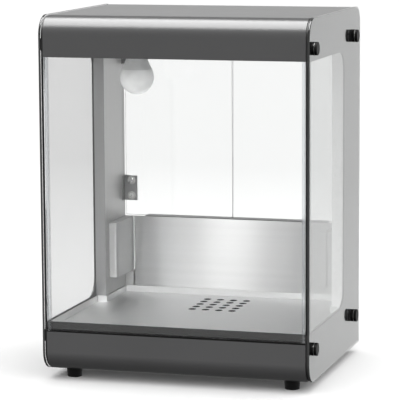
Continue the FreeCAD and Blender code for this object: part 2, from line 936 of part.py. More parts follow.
def bulb_cap():
    """The screw cap of the bulb, with its ridges and contact."""
    low = bulb_neck_z()
    high = low + bulb_cap_length
    step = bulb_cap_length / (2 * bulb_thread_count + 1)
    profile = [(0, low)]
    for i in range(2 * bulb_thread_count + 2):
        ridge = bulb_cap_radius if i % 2 else bulb_cap_radius - bulb_thread_depth
        profile.append((ridge, low + step * i))
    profile += [(bulb_contact_radius, high), (bulb_contact_radius, high + bulb_contact_height),
                (0, high + bulb_contact_height)]
    return turned(profile, lamp_x, lamp_y)


def lamp_holder():
    """A cup that the bulb screws into, with a flange under the ceiling."""
    mouth = bulb_neck_z() + rest_gap
    bore_top = bulb_neck_z() + bulb_cap_length + bulb_contact_height + rest_gap
    bore = bulb_cap_radius + holder_gap
    outer = holder_radius()
    top = ceiling_z + holder_back_height
    flange_low = ceiling_z - holder_flange_height
    profile = [(bore, mouth), (outer, mouth), (outer, flange_low), (holder_flange_radius, flange_low),
               (holder_flange_radius, ceiling_z), (outer, ceiling_z), (outer, top), (0, top),
               (0, bore_top), (bore, bore_top)]
    return turned(profile, lamp_x, lamp_y)


# Fan

def fan_frame():
    half = fan_size / 2
    frame = box(-half, half, fan_y - half, fan_y + half, base_floor_z, fan_top_z)
    frame = frame.makeFillet(fan_corner_radius, edges_along(frame, Z_AXIS))
    low = Vector(0, fan_y, base_floor_z)
    cuts = [rod(fan_bore_radius, low - Z_AXIS * overrun, low + Z_AXIS * (fan_height + overrun))]
    for x in (-fan_screw_offset, fan_screw_offset):
        for y in (-fan_screw_offset, fan_screw_offset):
            place = low + Vector(x, y, 0)
            cuts.append(rod(screw_radius + running_gap, place, place + Z_AXIS * (fan_height + overrun)))
    frame = frame.cut(cuts)
    hub = [rod(fan_hub_radius, low, low + Z_AXIS * fan_hub_base)]
    reach = fan_bore_radius + running_gap
    for step in range(fan_strut_count // 2):
        strut = box(-reach, reach, fan_y - fan_strut_width / 2, fan_y + fan_strut_width / 2,
                    base_floor_z, base_floor_z + fan_hub_base)
        strut.rotate(low, Z_AXIS, 360 / fan_strut_count * step)
        hub.append(strut)
    hub.append(rod(fan_shaft_radius, low, low + Z_AXIS * (fan_hub_base + fan_blade_height)))
    return frame.fuse(hub)


def fan_impeller():
    low = base_floor_z + fan_hub_base + fan_axial_gap
    centre = Vector(0, fan_y, low)
    top = centre + Z_AXIS * fan_blade_height
    reach = fan_bore_radius - fan_blade_gap
    sweep = rod(reach, centre, top)
    chord = fan_blade_height / math.sin(math.radians(fan_blade_angle)) + fan_blade_sheet
    middle = centre + Z_AXIS * (fan_blade_height / 2)
    blades = []
    for step in range(fan_blade_count):
        blade = box(fan_hub_radius / 2, fan_bore_radius, fan_y - chord / 2, fan_y + chord / 2,
                    middle.z - fan_blade_sheet / 2, middle.z + fan_blade_sheet / 2)
        blade.rotate(middle, X_AXIS, fan_blade_angle)
        blade.rotate(middle, Z_AXIS, 360 / fan_blade_count * step)
        blades.append(blade.common(sweep))
    wheel = rod(fan_hub_radius, centre, top).fuse(blades)
    return wheel.cut(rod(fan_shaft_radius + running_gap, centre - Z_AXIS * overrun, top + Z_AXIS * overrun))


def fan_screws():
    grip = duct_sheet + fan_height
    return [screw(Vector(x, fan_y + y, duct_floor_z), Z_AXIS, grip)
            for x in (-fan_screw_offset, fan_screw_offset) for y in (-fan_screw_offset, fan_screw_offset)]


# Heater

def heater_duct():
    """An open-topped box that leads the air from the fan to the holes of the tray."""
    top = tray_under_z - duct_top_gap
    front = fan_y - duct_half_depth
    rear = fan_y + duct_half_depth
    outer = box(-duct_half_width, duct_half_width, front, rear, fan_top_z, top)
    cuts = [box(-duct_half_width + duct_sheet, duct_half_width - duct_sheet, front + duct_sheet,
                rear - duct_sheet, duct_floor_z, top + overrun)]
    cuts.append(rod(fan_bore_radius, Vector(0, fan_y, fan_top_z - overrun), Vector(0, fan_y, top)))
    for x in (-fan_screw_offset, fan_screw_offset):
        for y in (-fan_screw_offset, fan_screw_offset):
            place = Vector(x, fan_y + y, fan_top_z - overrun)
            cuts.append(rod(screw_radius + running_gap, place, place + Z_AXIS * 2 * overrun))
    for x in (element_x(0), element_x(element_passes - 1)):
        place = Vector(x, front - overrun, element_z)
        cuts.append(rod(element_radius + running_gap, place, place + Y_AXIS * 2 * overrun))
    return outer.cut(cuts)


def element_x(index):
    return (index - (element_passes - 1) / 2) * element_pitch


def heating_element():
    """A tubular element that runs to and fro in the duct and leaves through its front wall."""
    rear = fan_y + duct_half_depth - element_margin
    front = fan_y - duct_half_depth + element_margin
    exit_y = fan_y - duct_half_depth - element_terminal_length
    bend = element_pitch / 2
    edges = []
    for index in range(element_passes):
        x = element_x(index)
        outward = index % 2 == 0
        near_y = front if outward else rear
        start = Vector(x, exit_y if index == 0 else near_y, element_z)
        far_y = rear if outward else front
        end = Vector(x, exit_y if index == element_passes - 1 else far_y, element_z)
        edges.append(Part.makeLine(start, end))
        if index < element_passes - 1:
            crown = Vector(x + bend, end.y + (bend if outward else -bend), element_z)
            edges.append(Part.Arc(end, crown, Vector(x + element_pitch, end.y, element_z)).toShape())
    path = Part.Wire(edges)
    section = Part.Wire(Part.makeCircle(element_radius, Vector(element_x(0), exit_y, element_z), Y_AXIS))
    return path.makePipeShell([section], True, False)


def element_bracket(y):
    """A low bridge that carries the element."""
    top = element_z - element_radius
    half = bracket_width / 2
    reach = bracket_half_length
    bridge = box(-reach, reach, y - half, y + half, top - bracket_sheet, top)
    legs = [box(-reach, -reach + bracket_sheet, y - half, y + half, duct_floor_z, top),
            box(reach - bracket_sheet, reach, y - half, y + half, duct_floor_z, top)]
    return bridge.fuse(legs).removeSplitter()


# Control box and what it carries

def control_box():
    outer = box(-control_half_width, control_half_width, panel_rear, control_rear, control_low_z,
                control_top_z)
    rear_edges = [edge for edge in outer.Edges if abs(edge.CenterOfMass.y - control_rear) < rest_gap]
    outer = outer.makeFillet(control_edge_radius, edges_along(outer, Y_AXIS) + rear_edges)
    sheet = control_sheet
    cuts = [box(-control_half_width + sheet, control_half_width - sheet, panel_rear - overrun,
                control_rear - sheet, control_low_z + sheet, control_top_z - sheet)]
    front = control_rear - overrun
    rear = control_rear + overrun
    for x in switch_places.values():
        cuts.append(block((x, control_z), (switch_width / 2 + rest_gap, switch_height / 2 + rest_gap),
                          front, rear))
    for x, radius in ((dial_x, thermostat_bush_radius), (pilot_x, pilot_body_radius),
                      (gland_x, gland_thread_radius)):
        cuts.append(rod(radius + running_gap, Vector(x, front, control_z), Vector(x, rear, control_z)))
    for x, z in control_screw_places():
        cuts.append(rod(screw_radius + running_gap, Vector(x, front, z), Vector(x, rear, z)))
    return outer.cut(cuts)


def control_screw_places():
    reach = control_half_width - control_screw_inset
    return [(x, z) for x in (-reach, reach)
            for z in (control_low_z + control_screw_inset, control_top_z - control_screw_inset)]


def control_screws():
    return [screw(Vector(x, control_rear, z), Y_AXIS, control_depth) for x, z in control_screw_places()]


def switch_housing(x):
    """A switch body with a bezel, open at the back of the cabinet for its rocker."""
    centre = (x, control_z)
    bezel_rear = control_rear + bezel_sheet
    bezel = block(centre, (bezel_width / 2, bezel_height / 2), control_rear, bezel_rear)
    body = block(centre, (switch_width / 2, switch_height / 2), control_rear - switch_depth, control_rear)
    mouth = block(centre, (switch_width / 2 - switch_wall, switch_height / 2 - switch_wall),
                  control_rear - switch_depth + switch_wall, bezel_rear + overrun)
    half = switch_width / 2 - switch_wall + axle_length + running_gap
    bearing = rod(axle_radius + running_gap, Vector(x - half, rocker_y, control_z),
                  Vector(x + half, rocker_y, control_z))
    return bezel.fuse(body).cut([mouth, bearing])


def rocker(x):
    """A rocker with a shallow valley, resting with its lower end pressed in."""
    half_width = switch_width / 2 - switch_wall - rocker_side_gap
    half_height = switch_height / 2 - switch_wall - rocker_end_gap
    front = rocker_y + rocker_pivot_depth - rocker_back
    rear = rocker_y + rocker_pivot_depth + rocker_front
    points = [(front, control_z - half_height), (rear, control_z - half_height),
              (rear - rocker_valley, control_z), (rear, control_z + half_height),
              (front, control_z + half_height)]
    cap = plate(points, [0] * len(points), x - half_width, x + half_width)
    reach = half_width + rocker_side_gap + axle_length
    axle = rod(axle_radius, Vector(x - reach, rocker_y, control_z), Vector(x + reach, rocker_y, control_z))
    cap = cap.fuse(axle)
    cap.rotate(Vector(x, rocker_y, control_z), X_AXIS, -rocker_angle)
    return cap


def thermostat_body():
    front = control_rear - control_sheet - thermostat_depth
    case = block((dial_x, control_z), (thermostat_width / 2, thermostat_height / 2), front,
                 control_rear - control_sheet)
    bush = rod(thermostat_bush_radius, Vector(dial_x, control_rear - control_sheet, control_z),
               Vector(dial_x, control_rear, control_z))
    bore = rod(dial_shaft_radius + running_gap,
               Vector(dial_x, control_rear - dial_shaft_depth - rest_gap, control_z),
               Vector(dial_x, control_rear + overrun, control_z))
    return case.fuse(bush).cut(bore)


def thermostat_dial():
    """A fluted dial on a skirt, with its shaft and a mark that points up at rest."""
    start = Vector(dial_x, control_rear + dial_face_gap, control_z)
    skirt_end = start + Y_AXIS * dial_skirt_height
    end = start + Y_AXIS * dial_height
    grip = rod(dial_radius, skirt_end, end)
    cuts = []
    for step in range(dial_flute_count):
        angle = 2 * math.pi * (step + 0.5) / dial_flute_count
        place = skirt_end + Vector(dial_radius * math.cos(angle), 0, dial_radius * math.sin(angle))
        cuts.append(rod(dial_flute_radius, place, place + Y_AXIS * dial_height))
    grip = grip.cut(cuts)
    skirt = rod(dial_skirt_radius, start, skirt_end)
    shaft = rod(dial_shaft_radius, start - Y_AXIS * (dial_face_gap + dial_shaft_depth), start)
    mark = box(dial_x - dial_mark_width / 2, dial_x + dial_mark_width / 2, end.y - dial_mark_depth,
               end.y + overrun, control_z + dial_radius / 3, control_z + dial_radius + overrun)
    return skirt.fuse([grip, shaft]).cut(mark)


def pilot_lamp():
    start = Vector(pilot_x, control_rear, control_z)
    end = start + Y_AXIS * pilot_lens_height
    lens = rod(pilot_lens_radius, start, end)
    lens = lens.makeFillet(pilot_lens_edge, end_circles(lens, Y_AXIS, end.y))
    return lens.fuse(rod(pilot_body_radius, start - Y_AXIS * pilot_body_length, start))


def cable_gland():
    """A gland with its inner nut; the bore for the cable runs through."""
    start = Vector(gland_x, control_rear, control_z)
    hex_end = start + Y_AXIS * gland_hex_height
    end = hex_end + Y_AXIS * gland_dome_length
    thread_end = start - Y_AXIS * (control_sheet + gland_thread_length)
    nut_start = start - Y_AXIS * control_sheet
    body = hexagon(gland_width, start, hex_end)
    body = body.fuse([cone(gland_dome_radius, gland_dome_end_radius, hex_end, end),
                      rod(gland_thread_radius, thread_end, start)])
    nut = hexagon(gland_width, nut_start - Y_AXIS * gland_nut_height, nut_start)
    nut = nut.cut(rod(gland_thread_radius + running_gap, thread_end, start))
    bore = rod(gland_bore_radius, thread_end - Y_AXIS * overrun, end + Y_AXIS * overrun)
    return group([body.cut(bore), nut])


def terminal_block():
    """A row of terminals on the floor of the base, each with its screw."""
    half = terminal_count * terminal_pitch / 2
    top = base_floor_z + terminal_height
    body = box(terminal_x - half, terminal_x + half, terminal_y - terminal_depth / 2,
               terminal_y + terminal_depth / 2, base_floor_z, top)
    wells = []
    screws = []
    for index in range(terminal_count):
        x = terminal_x - half + (index + 0.5) * terminal_pitch
        for y in (terminal_y - terminal_depth / 4, terminal_y + terminal_depth / 4):
            low = Vector(x, y, top - 2 * terminal_screw_depth)
            wells.append(rod(terminal_screw_radius + running_gap, low, Vector(x, y, top + overrun)))
            screws.append(rod(terminal_screw_radius, low, low + Z_AXIS * terminal_screw_depth))
    return group([body.cut(wells)] + screws)


# Writing the pieces

def save(name, shape):
    """Move a piece to the frame of the object and write it."""
    shape = shape.copy()
    shape.translate(Vector(frame_x, frame_y, 0))
    shape.exportStep(os.path.join("parts", name + ".step"))


def main():
    os.makedirs("parts", exist_ok=True)
    for side in SIDES:
        save("side_glass_" + side, on_side(side_glass(), side))
        save("side_frame_" + side, on_side(side_frame(), side))
        save("edge_gasket_" + side, on_side(edge_gasket(), side))
        save("rear_post_" + side, on_side(rear_post(), side))
        save("glass_channel_" + side, on_side(glass_channel(), side))
        save("door_" + side, on_side(door(), side))
        save("door_hinge_leaves_" + side, on_side(group([door_leaf(z) for z in hinge_places]), side))
        save("door_hinge_screws_" + side,
             on_side(group([hinge_screw(x, z) for x, z in hinge_screw_places()]), side))
        save("door_knob_" + side, on_side(door_knob(), side))
        save("door_strike_" + side, on_side(door_strike(), side))
    save("glass_knobs", group([glass_knob(y, z) for y, z in fixings]))
    save("glass_studs", group([stud(knob_height * knob_bore_share - rest_gap, y, z) for y, z in fixings]))
    save("glass_caps", group([mirrored(glass_cap(y, z)) for y, z in fixings]))
    save("hood_shell", hood_shell())
    save("ceiling_panel", ceiling_panel())
    save("base_pan", base_pan())
    for place, (x, y) in feet_places.items():
        save("foot_" + place, foot(x, y))
    save("foot_screws", group([foot_screw(x, y) for x, y in feet_places.values()]))
    save("rear_guard", rear_guard())
    save("rear_panel", rear_panel())
    save("front_glass", front_glass())
    save("floor_tray", floor_tray())
    save("tray_rails", group([side_rail(), mirrored(side_rail()), rear_rail()]))
    frame_leaves = [frame_leaf(z) for z in hinge_places]
    save("frame_hinge_leaves", group(frame_leaves + [mirrored(leaf) for leaf in frame_leaves]))
    pins = [hinge_pin(z) for z in hinge_places]
    save("hinge_pins", group(pins + [mirrored(pin) for pin in pins]))
    save("door_catch", door_catch())
    save("bulb_globe", bulb_globe())
    save("bulb_housing", bulb_housing())
    save("bulb_cap", bulb_cap())
    save("lamp_holder", lamp_holder())
    save("fan_frame", fan_frame())
    save("fan_impeller", fan_impeller())
    save("heater_duct", heater_duct())
    save("heating_element", heating_element())
    save("element_brackets", group([element_bracket(fan_y - bracket_offset),
                                    element_bracket(fan_y + bracket_offset)]))
    save("control_box", control_box())
    save("cabinet_screws", group(rear_panel_screws() + control_screws() + fan_screws()))
    for name, x in switch_places.items():
        save(name + "_switch_housing", switch_housing(x))
        save(name + "_switch_rocker", rocker(x))
    save("thermostat_body", thermostat_body())
    save("thermostat_dial", thermostat_dial())
    save("pilot_lamp", pilot_lamp())
    save("cable_gland", cable_gland())
    save("terminal_block", terminal_block())


main()
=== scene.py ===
import math

import bpy
from mathutils import Matrix, Vector


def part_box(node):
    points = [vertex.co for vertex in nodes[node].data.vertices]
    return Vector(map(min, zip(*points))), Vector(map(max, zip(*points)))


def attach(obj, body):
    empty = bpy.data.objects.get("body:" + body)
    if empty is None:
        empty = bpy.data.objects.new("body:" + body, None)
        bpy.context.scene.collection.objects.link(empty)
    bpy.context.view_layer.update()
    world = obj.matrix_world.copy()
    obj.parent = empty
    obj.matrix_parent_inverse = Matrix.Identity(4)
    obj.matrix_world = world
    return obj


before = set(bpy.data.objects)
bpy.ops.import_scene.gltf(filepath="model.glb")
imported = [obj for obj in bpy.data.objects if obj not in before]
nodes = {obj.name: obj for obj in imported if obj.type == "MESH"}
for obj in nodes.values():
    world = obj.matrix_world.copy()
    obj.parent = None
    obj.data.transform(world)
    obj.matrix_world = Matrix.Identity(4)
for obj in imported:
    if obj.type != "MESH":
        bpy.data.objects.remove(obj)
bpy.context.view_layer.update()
scene = bpy.context.scene
scene.view_settings.view_transform = "Standard"
scene.view_settings.look = "None"

MM = 0.001
X_AXIS = Vector((1, 0, 0))
Y_AXIS = Vector((0, 1, 0))
Z_AXIS = Vector((0, 0, 1))
WHITE = (1, 1, 1, 1)

# Camera: its picture, its axes, and its place from the middle of the body's front
PICTURE_WIDTH = 400
SENSOR_WIDTH = 36
FOCAL_PIXELS = 2275.41
NEAR_CLIP = 0.1
FAR_CLIP = 60
CAMERA_RIGHT = Vector((0.95957441, 0.28140096, -0.00551799))
CAMERA_UP = Vector((-0.03463243, 0.13750709, 0.98989514))
CAMERA_FROM_BODY = Vector((1.0817958, -3.5194744, 0.8249938))
FOOT_HEIGHT = 16 * MM

# Knobs and their washers, with reaches measured from the glass
KNOB_RADIUS = 10.8 * MM
KNOB_WASHER_REACH = 4.7 * MM
KNOB_WASHER_END = 5.5 * MM
KNOB_WASHER_DEPTH = 1.5 * MM
KNOB_WASHER_INSET = 0.5 * MM
KNOB_WASHER_EDGE = 0.1 * MM
RING_STEPS = 48

# Hinge screws and their washers
SCREW_HEAD_HEIGHT = 1.8 * MM
SCREW_SPACING = 28 * MM
HINGE_WASHER_BORE = 4.3 * MM
HINGE_WASHER_RADIUS = 7.5 * MM
HINGE_WASHER_HEIGHT = 1.0 * MM
HINGE_WASHER_RIM = 0.6 * MM
HINGE_WASHER_SLOPE = 0.7 * MM
HINGE_WASHER_EDGE = 0.1 * MM

# Guard: where its wings start, from its middle, and the sizes of their folded ends
GUARD_SHEET = 1.0 * MM
WING_START = 185 * MM
WING_WALL_INSET = 15.2 * MM
WING_FOOT_INSET = 3 * MM
WING_FOOT_HEIGHT = 57.5 * MM
PLATE_ROUNDING = 0.25 * MM

# Tray: its air holes and the rings of painted shade round them
TRAY_WALL_HEIGHT = 11.2 * MM
TRAY_WALL_REACH = 0.5 * MM
HOLE_PITCH = 24 * MM
HOLE_COLUMNS = 4
HOLE_ROWS = 5
HOLE_GRID_HALF_WIDTH = 45 * MM
HOLE_GRID_HALF_DEPTH = 57 * MM
HOLE_RIM_RISE = 0.12 * MM
HOLE_RIM_RADII = (5.9 * MM, 6.2 * MM, 6.75 * MM, 7.0 * MM)
HOLE_RIM_STEPS = 32

# Sheet and glass
FLANGE_DROP = 3 * MM
FLANGE_REACH = 30 * MM
POST_ROUNDING = 0.5 * MM
PANE_GAP = 0.2 * MM
WELD_DISTANCE = 0.01 * MM
COAT_RELIEF = 0.1 * MM
FINE_RELIEF = 0.2 * MM

# Shares of a face's normal that tell how far it is turned to an axis
HARDLY = 0.1
HALFWAY = 0.5
MOSTLY = 0.8
FULLY = 0.9

# Directions of brushed lines: stretched along Z or along X
UPRIGHT = (1, 1, 0.01)
LEVEL = (0.01, 1, 1)

# Sockets of a mix node: its factor, the pairs that it mixes, and its results
MIX_FACTOR = 0
MIX_VALUES = (2, 3)
MIX_COLORS = (6, 7)
MIXED_VALUE = 0
MIXED_COLOR = 2

# Faint glow of what looks brighter than the lamps make it
BULB_GLOW = 0.12
POST_GLOW = 0.09
FLOOR_GLOW = 0.04

# Floor, in metres: its reach, the line between its two parts, and where its painted shade fades in
FLOOR_REACH = 12
FLOOR_FRONT = -0.6
FADE_START = 0.5
FADE_END = 2.6


def sides(name):
    return [name + "_left", name + "_right"]


def middle(name):
    """The middle of a piece's box."""
    low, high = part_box(name)
    return (low + high) / 2


# Camera, fitted to the edges of the cabinet in the photograph

def make_camera():
    data = bpy.data.cameras.new("camera")
    data.sensor_width = SENSOR_WIDTH
    data.lens = FOCAL_PIXELS / PICTURE_WIDTH * SENSOR_WIDTH
    data.clip_start = NEAR_CLIP
    data.clip_end = FAR_CLIP
    camera = bpy.data.objects.new("camera", data)
    scene.collection.objects.link(camera)
    left_low, right_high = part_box("side_glass_left")[0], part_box("side_glass_right")[1]
    body_front = Vector(((left_low.x + right_high.x) / 2, left_low.y, FOOT_HEIGHT))
    place = CAMERA_FROM_BODY + body_front
    right, up = CAMERA_RIGHT, CAMERA_UP
    back = right.cross(up)
    camera.matrix_world = Matrix((
        (right.x, up.x, back.x, place.x),
        (right.y, up.y, back.y, place.y),
        (right.z, up.z, back.z, place.z),
        (0, 0, 0, 1)))
    scene.camera = camera


# Kinds of material

class Shader:
    """A Principled material with helpers for procedural detail."""

    def __init__(self, name, color, roughness, metallic=0.0):
        self.material = bpy.data.materials.new(name)
        self.material.use_nodes = True
        self.tree = self.material.node_tree
        self.tree.nodes.clear()
        self.output = self.tree.nodes.new("ShaderNodeOutputMaterial")
        self.bsdf = self.tree.nodes.new("ShaderNodeBsdfPrincipled")
        self.tree.links.new(self.bsdf.outputs["BSDF"], self.output.inputs["Surface"])
        self.set("Base Color", (*color, 1))
        self.set("Roughness", roughness)
        self.set("Metallic", metallic)
        self.coordinates = self.tree.nodes.new("ShaderNodeTexCoord").outputs["Object"]

    def set(self, socket, value):
        self.bsdf.inputs[socket].default_value = value

    def link(self, source, socket):
        self.tree.links.new(source, self.bsdf.inputs[socket])

    def glow(self, strength):
        self.set("Emission Color", WHITE)
        self.set("Emission Strength", strength)

    def noise(self, scale, detail, stretch=(1, 1, 1), offset=(0, 0, 0)):
        """Noise with the given number of cells per metre."""
        mapping = self.tree.nodes.new("ShaderNodeMapping")
        mapping.inputs["Scale"].default_value = [scale * share for share in stretch]
        mapping.inputs["Location"].default_value = offset
        self.tree.links.new(self.coordinates, mapping.inputs["Vector"])
        node = self.tree.nodes.new("ShaderNodeTexNoise")
        node.inputs["Scale"].default_value = 1
        node.inputs["Detail"].default_value = detail
        self.tree.links.new(mapping.outputs["Vector"], node.inputs["Vector"])
        return node.outputs["Fac"]

    def ranged(self, source, low, high, from_low=0.3, from_high=0.7):
        """Spread the source's range over the values from low to high."""
        node = self.tree.nodes.new("ShaderNodeMapRange")
        node.inputs["From Min"].default_value = from_low
        node.inputs["From Max"].default_value = from_high
        node.inputs["To Min"].default_value = low
        node.inputs["To Max"].default_value = high
        self.tree.links.new(source, node.inputs["Value"])
        return node.outputs["Result"]

    def blend(self, factor, first, second):
        """Mix two colours, each given as a tuple or as a socket."""
        node = self.tree.nodes.new("ShaderNodeMix")
        node.data_type = "RGBA"
        for number, value in zip(MIX_COLORS, (first, second)):
            if isinstance(value, tuple):
                node.inputs[number].default_value = (*value, 1)
            else:
                self.tree.links.new(value, node.inputs[number])
        self.tree.links.new(factor, node.inputs[MIX_FACTOR])
        return node.outputs[MIXED_COLOR]

    def bump(self, source, strength, distance):
        node = self.tree.nodes.new("ShaderNodeBump")
        node.inputs["Strength"].default_value = strength
        node.inputs["Distance"].default_value = distance
        self.tree.links.new(source, node.inputs["Height"])
        self.link(node.outputs["Normal"], "Normal")


def shade(color, factor):
    return tuple(min(channel * factor, 1) for channel in color)


def grey(value):
    return (value, value, value)


def powder_coat(name, color, roughness):
    """Satin coat on metal: fine orange peel, faint flakes and slow changes of tone."""
    coat = Shader(name, color, roughness)
    patches = coat.ranged(coat.noise(scale=9, detail=2), 0, 1)
    tone = coat.blend(patches, shade(color, 0.97), shade(color, 1.03))
    flakes = coat.ranged(coat.noise(scale=2600, detail=1), 0, 1, from_low=0.62, from_high=0.8)
    coat.link(coat.blend(flakes, tone, shade(color, 1.15)), "Base Color")
    wear = coat.noise(scale=60, detail=2)
    coat.link(coat.ranged(wear, roughness - 0.008, roughness + 0.008), "Roughness")
    coat.bump(coat.noise(scale=900, detail=2), strength=0.01, distance=COAT_RELIEF)
    return coat


def brushed(name, color, roughness, stretch, strength=0.0):
    """Brushed metal whose lines run along the axis with the small stretch."""
    metal = Shader(name, color, roughness, metallic=1.0)
    lines = metal.noise(scale=900, detail=3, stretch=stretch)
    broad = metal.noise(scale=120, detail=3, stretch=stretch, offset=(3, 1, 2))
    tone = metal.blend(metal.ranged(broad, 0, 1), shade(color, 0.98), shade(color, 1.02))
    metal.link(tone, "Base Color")
    metal.link(metal.ranged(lines, roughness - 0.01, roughness + 0.01), "Roughness")
    if strength:
        metal.bump(lines, strength, distance=FINE_RELIEF)
    return metal


def plain_metal(name, color, roughness):
    """Bare metal with small changes of gloss and a fine grain."""
    metal = Shader(name, color, roughness, metallic=1.0)
    wear = metal.noise(scale=150, detail=4)
    metal.link(metal.ranged(wear, roughness - 0.06, roughness + 0.08), "Roughness")
    metal.bump(metal.noise(scale=900, detail=3), strength=0.05, distance=FINE_RELIEF)
    return metal


def plastic(name, color, roughness, grain):
    """Moulded plastic, rubber or enamel with a fine grain."""
    moulded = Shader(name, color, roughness)
    clouds = moulded.ranged(moulded.noise(scale=40, detail=3), 0, 1)
    moulded.link(moulded.blend(clouds, shade(color, 0.9), shade(color, 1.1)), "Base Color")
    wear = moulded.noise(scale=300, detail=3)
    moulded.link(moulded.ranged(wear, roughness - 0.04, roughness + 0.05), "Roughness")
    moulded.bump(moulded.noise(scale=1800, detail=2), grain, distance=FINE_RELIEF)
    return moulded


def clear(name, color, roughness=0.0, ior=1.5):
    """Clear glass or plastic that lets the lamps light what is behind it."""
    pane = Shader(name, color, roughness)
    pane.set("Transmission Weight", 1.0)
    pane.set("IOR", ior)
    path = pane.tree.nodes.new("ShaderNodeLightPath")
    open_way = pane.tree.nodes.new("ShaderNodeBsdfTransparent")
    open_way.inputs["Color"].default_value = (0.93, 0.94, 0.935, 1)
    mix = pane.tree.nodes.new("ShaderNodeMixShader")
    factor, seen, shaded = mix.inputs
    pane.tree.links.new(path.outputs["Is Shadow Ray"], factor)
    pane.tree.links.new(pane.bsdf.outputs["BSDF"], seen)
    pane.tree.links.new(open_way.outputs["BSDF"], shaded)
    pane.tree.links.new(mix.outputs["Shader"], pane.output.inputs["Surface"])
    return pane


# Ways to put a material on a piece

def assign(shader, *names):
    for name in names:
        mesh = nodes[name].data
        mesh.materials.clear()
        mesh.materials.append(shader.material)


def assign_faces(shader, chosen, *names):
    """Give one more material to the faces of a piece that the test chooses."""
    for name in names:
        mesh = nodes[name].data
        mesh.materials.append(shader.material)
        for face in mesh.polygons:
            if chosen(face):
                face.material_index = len(mesh.materials) - 1


def soften(name, width):
    """Round the sharp edges of a folded piece a little."""
    bevel = nodes[name].modifiers.new("soften", "BEVEL")
    bevel.width = width
    bevel.segments = 3
    bevel.limit_method = "ANGLE"
    bevel.angle_limit = math.radians(50)
    bevel.harden_normals = True


def thin_pane(name):
    """Draw a pane's faces in a little, so that air is left between it and the sheet."""
    weld = nodes[name].modifiers.new("weld", "WELD")
    weld.merge_threshold = WELD_DISTANCE
    thin = nodes[name].modifiers.new("thin", "DISPLACE")
    thin.mid_level = 0
    thin.strength = -PANE_GAP


# The shell: hood, base, rear panel, control box and side frames

def dress_shell():
    coat = powder_coat("graphite_coat", (0.072, 0.072, 0.073), roughness=0.29)
    assign(coat, "hood_shell", "base_pan", "rear_panel", "control_box", *sides("side_frame"))
    paint_flange_shade()
    # Painted shade: the cut edges of the side frames are coloured near black, darker than their coat,
    # where they lie in shade.
    edge_shade = powder_coat("frame_edge_painted_shade", grey(0.012), roughness=0.5)
    assign_faces(edge_shade, lambda face: abs(face.normal.x) < HALFWAY, *sides("side_frame"))


def paint_flange_shade():
    """Painted shade: a black, unlit coat on the base's front flange under the tray's edge, where the
    slot lies in shade.
    """
    black_shade = plastic("flange_painted_shade", grey(0.008), roughness=0.7, grain=0.02)
    black_shade.set("Specular IOR Level", 0.0)
    low_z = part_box("glass_channel_left")[0].z - FLANGE_DROP
    rear_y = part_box("side_glass_left")[0].y + FLANGE_REACH

    def on_flange(face):
        return face.center.z > low_z and face.center.y < rear_y and face.normal.z > HARDLY

    assign_faces(black_shade, on_flange, "base_pan")


# The posts. The right one is seen through grey glass and is painted almost white with a faint glow, as
# painted light, and the left one's inner side is painted paler, as painted light.

def dress_posts():
    left = brushed("brushed_post", grey(0.37), roughness=0.48, stretch=UPRIGHT, strength=0.012)
    assign(left, "rear_post_left")
    # Painted light: a paler copy of the same steel on the inner side of the left post.
    inner = brushed("brushed_post_inner_painted_light", grey(0.52), roughness=0.5, stretch=UPRIGHT, strength=0.012)
    assign_faces(inner, lambda face: face.normal.x > HALFWAY, "rear_post_left")
    soften("rear_post_left", POST_ROUNDING)
    # Painted light: a near-white copy of the same steel, with a faint glow, on the right post.
    right = brushed("brushed_post_right_painted_light", grey(0.95), roughness=0.48, stretch=UPRIGHT, strength=0.012)
    right.glow(POST_GLOW)
    assign(right, "rear_post_right")


# The guard: level brushed lines spread a highlight into an upright band

def dress_guard():
    panel = brushed("brushed_guard", grey(0.58), roughness=0.29, stretch=LEVEL)
    tangent = panel.tree.nodes.new("ShaderNodeTangent")
    tangent.direction_type = "RADIAL"
    tangent.axis = "Z"
    panel.link(tangent.outputs["Tangent"], "Tangent")
    panel.set("Anisotropic", 1.0)
    panel.set("Anisotropic Rotation", 0.25)
    assign(panel, "rear_guard")

    low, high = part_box("rear_guard")
    centre = middle("rear_guard").x
    wing = brushed("brushed_wing", grey(0.62), roughness=0.5, stretch=LEVEL)
    assign_faces(wing, lambda face: abs(face.center.x - centre) > WING_START, "rear_guard")
    make_wing_end("left", low.x + WING_WALL_INSET, low.x, WING_FOOT_INSET, wing)
    make_wing_end("right", high.x - WING_WALL_INSET, high.x, -WING_FOOT_INSET, wing)

    # Painted shade: a darker copy of the wing's steel on the guard's front-facing flange.
    flange = brushed("brushed_wing_flange_painted_shade", grey(0.49), roughness=0.5, stretch=LEVEL)
    flange_rear = low.y + 2 * GUARD_SHEET
    assign_faces(flange, lambda face: face.normal.y < -MOSTLY and face.center.y < flange_rear,
                 "rear_guard")


def make_wing_end(side, wall, end, foot_inset, shader):
    """The folded lid and the foot tab between a wing's wall and its end."""
    low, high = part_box("rear_guard")
    make_plate("wing_lid_" + side, (wall, low.y, high.z - GUARD_SHEET), (end, high.y, high.z), shader)
    make_plate("wing_foot_" + side, (wall + foot_inset, high.y - GUARD_SHEET, low.z),
               (end, high.y, low.z + WING_FOOT_HEIGHT), shader)


# The tray, with its dark lip in front, darkened further with painted shade, and the air holes over the
# fan, ringed with painted shade

